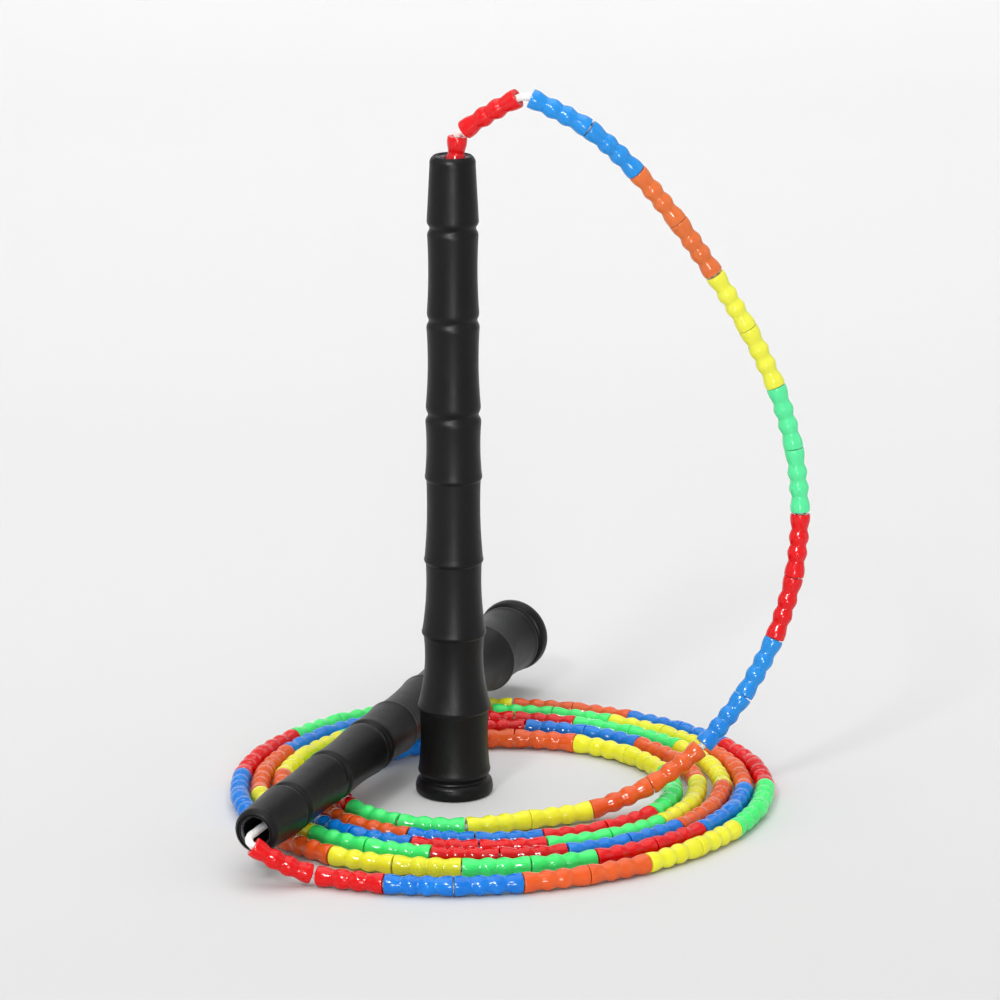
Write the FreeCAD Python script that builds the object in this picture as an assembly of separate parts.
import FreeCAD, Part
import math
import os

from FreeCAD import Vector

# Beaded jump rope: two bamboo-shaped handles and one cord threaded through 122 soft
# plastic beads. Handle A stands, the rope arches out of it and lies in a coil around it,
# and handle B lies behind the end of the rope. Millimetres. Origin = centre of the
# standing handle's foot, on the floor; +Z up, +X to the right, +Y towards the back.
#
# Beads are numbered 0..121 from handle A. Gap n lies just before bead n.

# ---- beads --------------------------------------------------------------------
BEAD_PITCH = 25.33        # one bead plus its gap, along the cord
BEAD_R = 3.85             # crest radius of the middle lobes
BEAD_END_R = 3.78         # crest radius of the two end lobes
VALLEY_R = 3.22           # radius at the necks between lobes
FACE_R = 3.45             # radius of the cut end face, inside its rounded edge
EDGE_R = 3.72             # radius where the rounded edge meets the end lobe
EDGE_L = 0.3              # length of the rounded edge
BORE_R = 1.90             # hole through a bead
LOBES = 4
LOBE_KINDS = ["first"] + ["mid"] * (LOBES - 2) + ["last"]
END_CREST_AT = 0.45       # crest of an end lobe from the end face, share of lobe length
# rising flank of a lobe: (share of its length, share of its rise)
FLANK = [(0, 0), (0.12, 0.45), (0.29, 0.88)]
LOBE_SINK = 0.15          # in a bent bead the lobes end this far below the neck balls
STRAIGHT_BELOW = math.radians(1.0)   # beads that bend less are made straight
BORE_OVERRUN = 1.0        # bent bore tool past each end of the bead, along the arc
LOFT_OVERRUN = 0.2        # the same for the lofted tool, in lobe lengths
SHIFT_LOBE_L = 6.3        # lobe length that a neck shift is measured against
BEAD_VOLUMES = (700, 1300)           # a sound bent bead lies between these

# Settings tried in turn until a bent bead closes:
# (added to the neck radius, outer necks moved to the middle, roll per lobe in degrees)
BEAD_TRIES = [
    (0.0, 0.0, 0), (0.0, 0.0, 37), (0.03, 0.0, 71), (-0.03, 0.0, 20),
    (0.01, 0.12, 53), (-0.02, -0.12, 37), (0.05, 0.2, 90),
]

# ---- gaps, each given as half the space between two beads -----------------------
GAP = 0.18
GAP_JOINT = 0.42          # where the rope is jointed
GAP_LIFT = 0.95           # at the foot of the arch
GAP_TAIL = 1.35           # at the tail kink
GAP_KINK = 2.6            # between beads 1 and 2, where the bent cord shows
BEND_R = 3.55             # bead radius that has to clear its neighbour in a bend
BEND_CLEARANCE = 0.06

FIRST_GAP = 2             # number of the first gap centre on the spine
LAST_GAP = 121
JOINT_GAPS = {FIRST_GAP: GAP_KINK, 6: GAP_JOINT, 10: GAP_JOINT, 14: GAP_LIFT, 42: GAP_JOINT,
              61: GAP_JOINT, 82: GAP_JOINT, 106: GAP_JOINT, LAST_GAP: GAP_TAIL}

# ---- cord -----------------------------------------------------------------------
CORD_R = 1.50
BALL_R = 1.45             # rounded cord end at a joint
OPEN = 1.60               # distance of the facing cord end from the joint centre
CORD_STEPS = 4            # points of the cord's curve per bead

# ---- handles, heights measured from the foot --------------------------------------
HANDLE_L = 252.0
FIT = 0.02                # clearance of the pieces pressed together
FOOT_H = 6.7              # height of the end cap outside the grip
SOCKET_R = 9.90           # lower bore of the grip, which takes the foot
MIDDLE_BORE_R = 8.0       # bore between the socket and the cavity
CAVITY_R = 6.10           # cavity the stop washer runs in
BUSH_Z0 = 238.0           # inner face of the exit bush
BUSH_R = 6.70
BUSH_BORE = 5.30
BUSH_SINK = 0.15          # bush below the mouth
WASHER_R = 5.85
WASHER_H = 1.6
WASHER_HOLE = 1.56
WASHER_EDGE = 0.3         # chamfer
WASHER_Z = 224.0          # underside of the stop washer
KNOT_Z = WASHER_Z - 3.55  # middle of the knot under the washer
KNOT_CORE_R = 1.9
KNOT_LOOP_R = 1.35        # thickness radius of the knot's loops
KNOT_TAIL = 9.0           # cord left below the knot
# loops of the knot: (ring radius, ring axis)
KNOT_LOOPS = [(1.9, (0, 0, 1)), (1.7, (0.87, 0, 0.5)), (1.7, (-0.45, 0.78, 0.43))]

# lying handle: mouth centre and the direction from the mouth to the foot
MOUTH_B = Vector(-72.5, -98.5, 18.25)
DIR_B = Vector(0.3835, 0.9234, 0.0165)
KINK_B_OUT = 4.0          # cord runs this far out of the mouth before it kinks
CORD_B_SHORT = 2.1        # the handle's cord stops this far before the kink

# standing handle: bead 0 leans in the mouth, then the cord kinks
STUB_FOOT = Vector(0.10, 0.0, 234.4)
STUB_TOP = Vector(1.85, 0.0, 259.3)
KINK_A = Vector(2.60, -0.4, 261.1)
BEAD1_START = Vector(4.6, -1.6, 262.0)

TAIL_END = Vector(-72.6, -106.2, 15.9)      # end of bead 121

# lengths of cord between a bead's end and the next bend
STUB_CORD_BELOW = 1.0
STUB_CORD_ABOVE = 0.2
WASHER_CORD_ABOVE = 1.0
BEAD1_BEND_IN = 0.6       # this one lies inside bead 1
TAIL_CORD_OUT = 1.1

# ---- gap centres along the rope ------------------------------------------------
# arch, gaps 2..17: (x, y, z)
ARCH = [
    (26.60, -10.20, 276.90), (50.63, -11.03, 264.40), (68.84, -7.84, 247.26),
    (84.50, -4.55, 227.77), (98.59, -1.85, 207.03), (111.69, -0.34, 185.54),
    (122.74, -0.30, 162.85), (130.00, -1.29, 138.71), (132.82, -2.92, 113.69),
    (130.59, -5.08, 88.68), (123.32, -8.34, 64.84), (111.32, -13.54, 43.33),
    (95.32, -20.46, 25.16), (75.38, -28.05, 12.00), (52.48, -36.03, 4.80),
    (28.69, -44.71, 4.05),
]
# coil from the inside out, gaps 18..121: (x, y) at height COIL_Z
COIL_Z = 3.95
COIL = [
    (4.72, -52.91), (-20.20, -48.40), (-38.91, -31.32), (-45.76, -6.95),
    (-39.95, 17.71), (-23.95, 37.33), (-1.50, 49.06), (23.66, 51.89),
    (48.25, 45.81), (69.12, 31.47), (82.41, 9.90), (84.86, -15.30),
    (75.73, -38.92), (57.19, -56.17), (33.70, -65.64), (8.54, -68.46),
    (-16.29, -63.44), (-37.84, -50.15), (-52.91, -29.79), (-58.91, -5.19),
    (-54.83, 19.81), (-41.53, 41.35), (-21.31, 56.62), (2.84, 64.23),
    (28.17, 64.16), (52.52, 57.24), (73.43, 42.94), (88.44, 22.56),
    (94.73, -1.98), (91.28, -27.06), (78.52, -48.94), (58.73, -64.73),
    (35.05, -73.73), (9.95, -77.02), (-15.09, -73.22), (-37.58, -61.57),
    (-55.01, -43.19), (-65.24, -20.03), (-66.90, 5.25), (-59.78, 29.54),
    (-45.65, 50.56), (-25.53, 65.94), (-1.55, 74.09), (23.77, 74.61),
    (48.31, 68.34), (70.85, 56.81), (89.25, 39.40), (101.19, 17.08),
    (104.40, -8.05), (98.54, -32.68), (84.93, -54.04), (65.53, -70.33),
    (42.53, -80.96), (17.55, -85.16), (-7.71, -83.22), (-31.64, -74.93),
    (-52.37, -60.36), (-67.35, -39.94), (-75.00, -15.80), (-74.39, 9.52),
    (-66.84, 33.70), (-53.11, 54.97), (-33.91, 71.49), (-10.71, 81.64),
    (14.46, 84.45), (39.47, 80.54), (62.93, 70.98), (83.96, 56.89),
    (100.44, 37.66), (110.54, 14.45), (112.49, -10.80), (106.30, -35.35),
    (93.27, -57.07), (75.00, -74.60), (53.12, -87.38), (28.92, -94.86),
    (3.68, -97.02), (-21.40, -93.48), (-44.63, -83.38), (-63.10, -66.04),
    (-75.81, -44.13), (-82.39, -19.67), (-83.06, 5.66), (-77.24, 30.31),
    (-64.99, 52.48), (-48.00, 71.26), (-26.54, 84.72), (-2.15, 91.55),
    (23.18, 91.91), (47.94, 86.64), (70.90, 75.94), (91.39, 61.06),
    (107.62, 41.61), (117.88, 18.46), (120.89, -6.70), (116.58, -31.67),
    (106.41, -54.87), (91.08, -75.06), (72.20, -91.94), (49.97, -104.15),
    (25.97, -112.25), (0.86, -115.70), (-24.35, -113.24), (-50.40, -104.60),
]

# grip outside from the foot joint to the mouth, after GRIP_START:
# (z, r) ends a line, (middle z, middle r, end z, end r) an arc
GRIP_START = (FOOT_H + FIT, 12.70)
GRIP_OUTSIDE = [
    (7.6, 13.15, 8.3, 13.70), (9.3, 14.10, 10.5, 13.85), (20.0, 13.12, 34.0, 13.55),
    (34.9, 14.20, 36.2, 14.00), (51.5, 11.42, 64.0, 11.75), (64.9, 12.45, 66.2, 12.25),
    (81.5, 10.72, 93.1, 10.80), (94.0, 11.42, 95.3, 11.25), (111.5, 10.30, 126.0, 10.45),
    (127.0, 11.00, 128.3, 10.88), (138.0, 10.35, 148.5, 10.66),
    (150.4, 10.35, 151.0, 9.95), (151.9, 9.72, 152.8, 9.95), (153.6, 10.30, 155.5, 10.50),
    (171.0, 9.72, 185.0, 10.07), (187.2, 9.85, 187.8, 9.50), (188.7, 9.28, 189.6, 9.50),
    (190.3, 9.78, 192.0, 9.94), (207.0, 9.37, 221.0, 9.70), (222.9, 9.42, 223.4, 9.10),
    (224.3, 8.86, 225.2, 9.10), (225.9, 9.60, 227.7, 9.85),
    (248.6, 8.72),
    (250.9, 8.35, HANDLE_L, 7.35),
]

# ---- colours and runs -------------------------------------------------------------
COLOURS = ["red", "blue", "orange", "yellow", "green"]
BEADS_PER_BLOCK = 2       # neighbouring beads of one colour
MIDDLE_BLOCK = 30         # the colours mirror about this block

# (name, first bead, last bead)
RUNS = [
    ("arc1", 1, 1), ("arc2", 2, 5), ("arc3", 6, 9), ("arc4", 10, 13),
    ("coil1", 14, 41), ("coil2", 42, 60), ("coil3", 61, 81), ("coil4", 82, 105),
    ("coil5", 106, 120), ("tail", 121, 121),
]


def colour_of(bead):
    block = bead // BEADS_PER_BLOCK
    if block > MIDDLE_BLOCK:
        block = 2 * MIDDLE_BLOCK - block
    return COLOURS[block % len(COLOURS)]


# ---- shape helpers ----------------------------------------------------------------
def unit(vector):
    return Vector(vector).normalize()


def revolved(start, steps):
    """Closed outline of (x, r) turned about +X; steps as in GRIP_OUTSIDE."""
    edges = []
    here = Vector(start[0], start[1], 0)
    for step in steps:
        end = Vector(step[-2], step[-1], 0)
        if len(step) == 4:
            edges.append(Part.Arc(here, Vector(step[0], step[1], 0), end).toShape())
        else:
            edges.append(Part.makeLine(here, end))
        here = end
    face = Part.Face(Part.Wire(edges))
    return face.revolve(Vector(0, 0, 0), Vector(1, 0, 0), 360)


def revolved_up(start, steps):
    """The same with the outline read as (z, r), so the axis is +Z."""
    solid = revolved(start, steps)
    solid.rotate(Vector(0, 0, 0), Vector(0, 1, 0), -90)
    return solid


def placed(shape, origin, direction, roll=0.0):
    """Shape modelled along +X from zero, moved to start at origin along direction."""
    moved = shape.copy()
    turn = FreeCAD.Rotation(Vector(1, 0, 0), direction)
    spin = FreeCAD.Rotation(Vector(1, 0, 0), roll)
    moved.Placement = FreeCAD.Placement(origin, turn.multiply(spin))
    return moved


def ring(radius, centre, axis):
    return Part.Wire(Part.makeCircle(radius, centre, axis))


def ball(radius, centre, axis):
    """Sphere whose poles lie on the cord's own direction."""
    return Part.makeSphere(radius, centre, unit(axis))


def rod(start, end):
    """Straight piece of cord."""
    span = end - start
    return Part.makeCylinder(CORD_R, span.Length, start, unit(span))


# ---- rope centreline ----------------------------------------------------------------
points = [Vector(*p) for p in ARCH] + [Vector(x, y, COIL_Z) for x, y in COIL]
spine = Part.BSplineCurve()
spine.interpolate(points)
knots = [spine.parameter(p) for p in points]


def on_spine(gap, share):
    """Point on the centreline, the given share of the way from gap to gap + 1."""
    i = gap - FIRST_GAP
    return spine.value(knots[i] + (knots[i + 1] - knots[i]) * share)


def half_gap(gap):
    """Half of the space between two beads; wider where the rope bends hard."""
    if gap in (FIRST_GAP, LAST_GAP):
        return JOINT_GAPS[gap]
    before = on_spine(gap - 1, 0.75)
    centre = on_spine(gap, 0.0)
    after = on_spine(gap, 0.25)
    bend = (centre - before).getAngle(after - centre)
    return max(JOINT_GAPS.get(gap, GAP), BEND_R * math.tan(bend / 2) + BEND_CLEARANCE)


def shares(low, high):
    """Lobe ends as shares of a span, with low and high left free at its ends."""
    return [low + (1 - low - high) * k / LOBES for k in range(LOBES + 1)]


def line_path(start, end, low=0.0, high=0.0):
    return [start + (end - start) * share for share in shares(low, high)]


def bead_path(bead):
    """The five lobe ends of a bead along the centreline."""
    if bead == 0:
        return line_path(STUB_FOOT, STUB_TOP)
    if bead == 1:
        length = (points[0] - BEAD1_START).Length
        return line_path(BEAD1_START, points[0], high=GAP_KINK / length)
    low = half_gap(bead) / BEAD_PITCH
    if bead == LAST_GAP:
        return line_path(points[-1], TAIL_END, low=low)
    high = half_gap(bead + 1) / BEAD_PITCH
    return [on_spine(bead, share) for share in shares(low, high)]


# ---- beads ----------------------------------------------------------------------------
def lobe_outline(length, x0, kind, low):
    """Points (x, r) of one lobe from x0; low is its radius at a neck."""
    rise = BEAD_R - low
    x1 = x0 + length
    rising = [(x0 + at * length, low + up * rise) for at, up in FLANK]
    falling = [(x1 - at * length, low + up * rise) for at, up in reversed(FLANK)]
    crest = END_CREST_AT * length
    if kind == "first":
        return [(x0, FACE_R), (x0 + EDGE_L, EDGE_R), (x0 + crest, BEAD_END_R)] + falling
    if kind == "last":
        return rising + [(x1 - crest, BEAD_END_R), (x1 - EDGE_L, EDGE_R), (x1, FACE_R)]
    return rising + [(x0 + 0.5 * length, BEAD_R)] + falling


def lobe(length, kind):
    """Solid lobe of a bent bead."""
    outline = lobe_outline(length, 0.0, kind, VALLEY_R - LOBE_SINK)
    return revolved((0, 0), outline + [(length, 0), (0, 0)])


def straight_bead(length):
    lobe_l = length / LOBES
    outline = [(0, FACE_R)]
    for k, kind in enumerate(LOBE_KINDS):
        outline += lobe_outline(lobe_l, k * lobe_l, kind, VALLEY_R)[1:]
    return revolved((0, BORE_R), outline + [(length, BORE_R), (0, BORE_R)])


def bore_arc(start, middle, end):
    """Bent rod through three points, a little longer than the bead at both ends."""
    circle = Part.Arc(start, middle, end).toShape().Curve
    centre = circle.Center
    axis = (start - centre).cross(end - centre).normalize()
    sweep = (start - centre).getAngle(end - centre)
    extra = BORE_OVERRUN / circle.Radius
    back = FreeCAD.Rotation(axis, math.degrees(-extra))
    rod_start = centre + back.multVec(start - centre)
    tangent = axis.cross(rod_start - centre).normalize()
    disk = Part.Face(ring(BORE_R, rod_start, tangent))
    return disk.revolve(centre, axis, math.degrees(sweep + 2 * extra))


def bore_loft(path):
    """The same bent rod, lofted through rings at the lobe ends."""
    centres = list(path)
    centres[0] = path[0] - (path[1] - path[0]) * LOFT_OVERRUN
    centres[-1] = path[-1] + (path[-1] - path[-2]) * LOFT_OVERRUN
    rings = []
    for k, centre in enumerate(centres):
        along = centres[min(k + 1, LOBES)] - centres[max(k - 1, 0)]
        rings.append(ring(BORE_R, centre, unit(along)))
    return Part.makeLoft(rings, True, False)


def fused_lobes(path, neck_r, shift, roll):
    """Yields the lobes and neck balls of a bent bead, fused in two ways."""
    ends = list(path)
    for k in (1, 3):
        ends[k] = ends[k] + (ends[2] - ends[k]) * (shift / SHIFT_LOBE_L)
    lobes = []
    for k, kind in enumerate(LOBE_KINDS):
        span = ends[k + 1] - ends[k]
        lobes.append(placed(lobe(span.Length, kind), ends[k], unit(span), roll * (k + 1)))
    necks = [ball(neck_r, ends[k], ends[k + 1] - ends[k - 1]) for k in range(1, LOBES)]
    yield lobes[0].multiFuse(lobes[1:] + necks)
    whole = lobes[0]
    for neck, next_lobe in zip(necks, lobes[1:]):
        whole = whole.fuse(neck).fuse(next_lobe)
    yield whole


def make_bead(path):
    start, middle, end = path[0], path[LOBES // 2], path[LOBES]
    if (middle - start).getAngle(end - middle) < STRAIGHT_BELOW:
        span = end - start
        return placed(straight_bead(span.Length), start, unit(span))
    # booleans on nearly touching facets can fail, so the first sound bead is taken
    tools = [bore_arc(start, middle, end), bore_loft(path)]
    smallest, largest = BEAD_VOLUMES
    for neck_extra, shift, roll in BEAD_TRIES:
        for whole in fused_lobes(path, VALLEY_R + neck_extra, shift, roll):
            for tool in tools:
                body = whole.cut(tool)
                if (len(body.Solids) == 1 and body.isValid()
                        and smallest < body.Volume < largest):
                    return body.Solids[0]
    raise RuntimeError("bead did not close")


# ---- cord of the runs -------------------------------------------------------------------
def pipe(path):
    """Round cord along a smooth curve through the path."""
    curve = Part.BSplineCurve()
    curve.interpolate(path)
    wire = Part.Wire([curve.toShape()])
    tangent = curve.tangent(curve.FirstParameter)[0]
    swept = wire.makePipeShell([ring(CORD_R, path[0], tangent)], True, True)
    # the sweep may come back as a bare shell
    return swept.Solids[0] if swept.Solids else Part.Solid(swept)


def first_cord():
    """Cord from the kink at handle A through bead 1."""
    lead = unit(BEAD1_START - KINK_A)
    axis = unit(points[0] - BEAD1_START)
    bend = BEAD1_START + axis * BEAD1_BEND_IN
    return rod(KINK_A + lead * OPEN, bend).multiFuse(
        [ball(CORD_R, bend, axis + lead), rod(bend, points[0] - axis * OPEN)])


def tail_cord():
    """Cord through the last bead and on to the kink at handle B."""
    axis = unit(TAIL_END - points[-1])
    kink = MOUTH_B - DIR_B * KINK_B_OUT
    bend = TAIL_END + axis * TAIL_CORD_OUT
    return rod(points[-1] + axis * OPEN, bend).multiFuse(
        [ball(CORD_R, bend, axis + unit(kink - bend)), rod(bend, kink),
         ball(BALL_R, kink, kink - bend)])


def spine_cord(first, last):
    """Cord through beads first..last: rounded at the low end, short of the next joint."""
    path = [on_spine(bead, k / CORD_STEPS)
            for bead in range(first, last + 1) for k in range(CORD_STEPS)]
    joint = points[last + 1 - FIRST_GAP]
    path.append(joint + unit(path[-1] - joint) * OPEN)
    return pipe(path).fuse(ball(BALL_R, path[0], path[1] - path[0]))


def run_cord(first, last):
    if first == 1:
        return first_cord()
    if first == LAST_GAP:
        return tail_cord()
    return spine_cord(first, last)


# ---- handle pieces, standing on the origin --------------------------------------------------
def grip():
    inside = [
        (HANDLE_L, BUSH_R + FIT), (BUSH_Z0, BUSH_R + FIT), (BUSH_Z0, CAVITY_R),
        (140.0, CAVITY_R), (136.0, MIDDLE_BORE_R), (66.0, MIDDLE_BORE_R), (62.0, SOCKET_R),
        # groove for the foot's ridge
        (15.8, SOCKET_R), (15.8, 10.32), (13.9, 10.32), (13.9, SOCKET_R),
        (FOOT_H + FIT, SOCKET_R),
    ]
    return revolved_up(GRIP_START, GRIP_OUTSIDE + inside + [GRIP_START])


def foot():
    """End cap with a hollow spigot that is pressed into the grip."""
    spigot_r = SOCKET_R - FIT
    hollow_r = 8.0
    floor = 2.6
    return revolved_up((0, 0), [
        (0, 13.7), (0.45, 14.65, 1.5, 15.02), (2.8, 15.10, 4.1, 14.85),
        (5.3, 14.35, 5.9, 13.40), (6.3, 12.95, FOOT_H, 12.80),
        (FOOT_H, spigot_r),
        # ridge around the spigot
        (14.1, spigot_r), (14.1, 10.25), (15.4, 10.25), (15.7, spigot_r),
        (20.5, spigot_r), (21.0, 9.4), (21.0, hollow_r), (floor, hollow_r),
        (floor, 0), (0, 0),
    ])


def bush():
    """Exit bush with a flared mouth."""
    bottom = BUSH_Z0 + FIT
    top = HANDLE_L - BUSH_SINK
    return revolved_up((bottom, BUSH_BORE), [
        (bottom, BUSH_R), (top, BUSH_R), (top, 6.25),
        (HANDLE_L - 0.75, 5.68, HANDLE_L - 2.0, BUSH_BORE), (bottom, BUSH_BORE),
    ])


def washer():
    top = WASHER_Z + WASHER_H
    rim_r = WASHER_R - WASHER_EDGE
    return revolved_up((WASHER_Z, WASHER_HOLE), [
        (WASHER_Z, rim_r), (WASHER_Z + WASHER_EDGE, WASHER_R),
        (top - WASHER_EDGE, WASHER_R), (top, rim_r),
        (top, WASHER_HOLE), (WASHER_Z, WASHER_HOLE),
    ])


def knot():
    centre = Vector(0, 0, KNOT_Z)
    lumps = [Part.makeTorus(ring_r, KNOT_LOOP_R, centre, Vector(*axis))
             for ring_r, axis in KNOT_LOOPS]
    lumps.append(rod(Vector(0, 0, KNOT_Z - KNOT_TAIL), centre))
    return Part.makeSphere(KNOT_CORE_R, centre).multiFuse(lumps)


def cord_end_a():
    """Knot, cord through the stop washer and bead 0, up to the kink."""
    axis = unit(STUB_TOP - STUB_FOOT)
    above_washer = Vector(0, 0, WASHER_Z + WASHER_H + WASHER_CORD_ABOVE)
    low = STUB_FOOT - axis * STUB_CORD_BELOW
    top = STUB_TOP + axis * STUB_CORD_ABOVE
    return knot().multiFuse([
        rod(Vector(0, 0, KNOT_Z), above_washer),
        ball(CORD_R, above_washer, Vector(0, 0, 1)),
        rod(above_washer, low),
        ball(CORD_R, low, low - above_washer),
        rod(low, top),
        ball(CORD_R, top, axis + unit(KINK_A - top)),
        rod(top, KINK_A),
        ball(BALL_R, KINK_A, KINK_A - top),
    ])


def cord_end_b():
    """Knot and straight cord out of the mouth, still standing."""
    top = HANDLE_L + KINK_B_OUT - CORD_B_SHORT
    return knot().fuse(rod(Vector(0, 0, KNOT_Z), Vector(0, 0, top)))


def stand(shape):
    return shape


def lay_down(shape):
    """Moves a standing piece into the lying handle B."""
    moved = shape.copy()
    turn = FreeCAD.Rotation(Vector(0, 0, 1), DIR_B * -1.0)
    lying = FreeCAD.Placement(MOUTH_B + DIR_B * HANDLE_L, turn)
    moved.Placement = lying.multiply(moved.Placement)
    return moved


# ---- build ----------------------------------------------------------------------------
def export(name, shapes):
    """Writes all solids of the shapes to one file."""
    solids = [solid for shape in shapes for solid in shape.Solids]
    if not solids or any(not s.isValid() or s.Volume < 1.0 for s in solids):
        raise RuntimeError(name + ": missing or bad solid")
    piece = solids[0] if len(solids) == 1 else Part.makeCompound(solids)
    piece.exportStep("parts/" + name + ".step")


def export_run(name, first, last):
    """One file per bead colour and one for the cord."""
    groups = {}
    for bead in range(first, last + 1):
        groups.setdefault(colour_of(bead), []).append(make_bead(bead_path(bead)))
    for colour, beads in groups.items():
        export(name + "_" + colour, beads)
    export(name + "_cord", [run_cord(first, last)])


os.makedirs("parts", exist_ok=True)

for side, place, cord_end in (("a", stand, cord_end_a), ("b", lay_down, cord_end_b)):
    for make in (grip, foot, bush, washer):
        export(make.__name__ + "_" + side, [place(make())])
    export("cord_end_" + side, [place(cord_end())])

export("stub_red", [make_bead(bead_path(0))])

for run, first_bead, last_bead in RUNS:
    export_run(run, first_bead, last_bead)
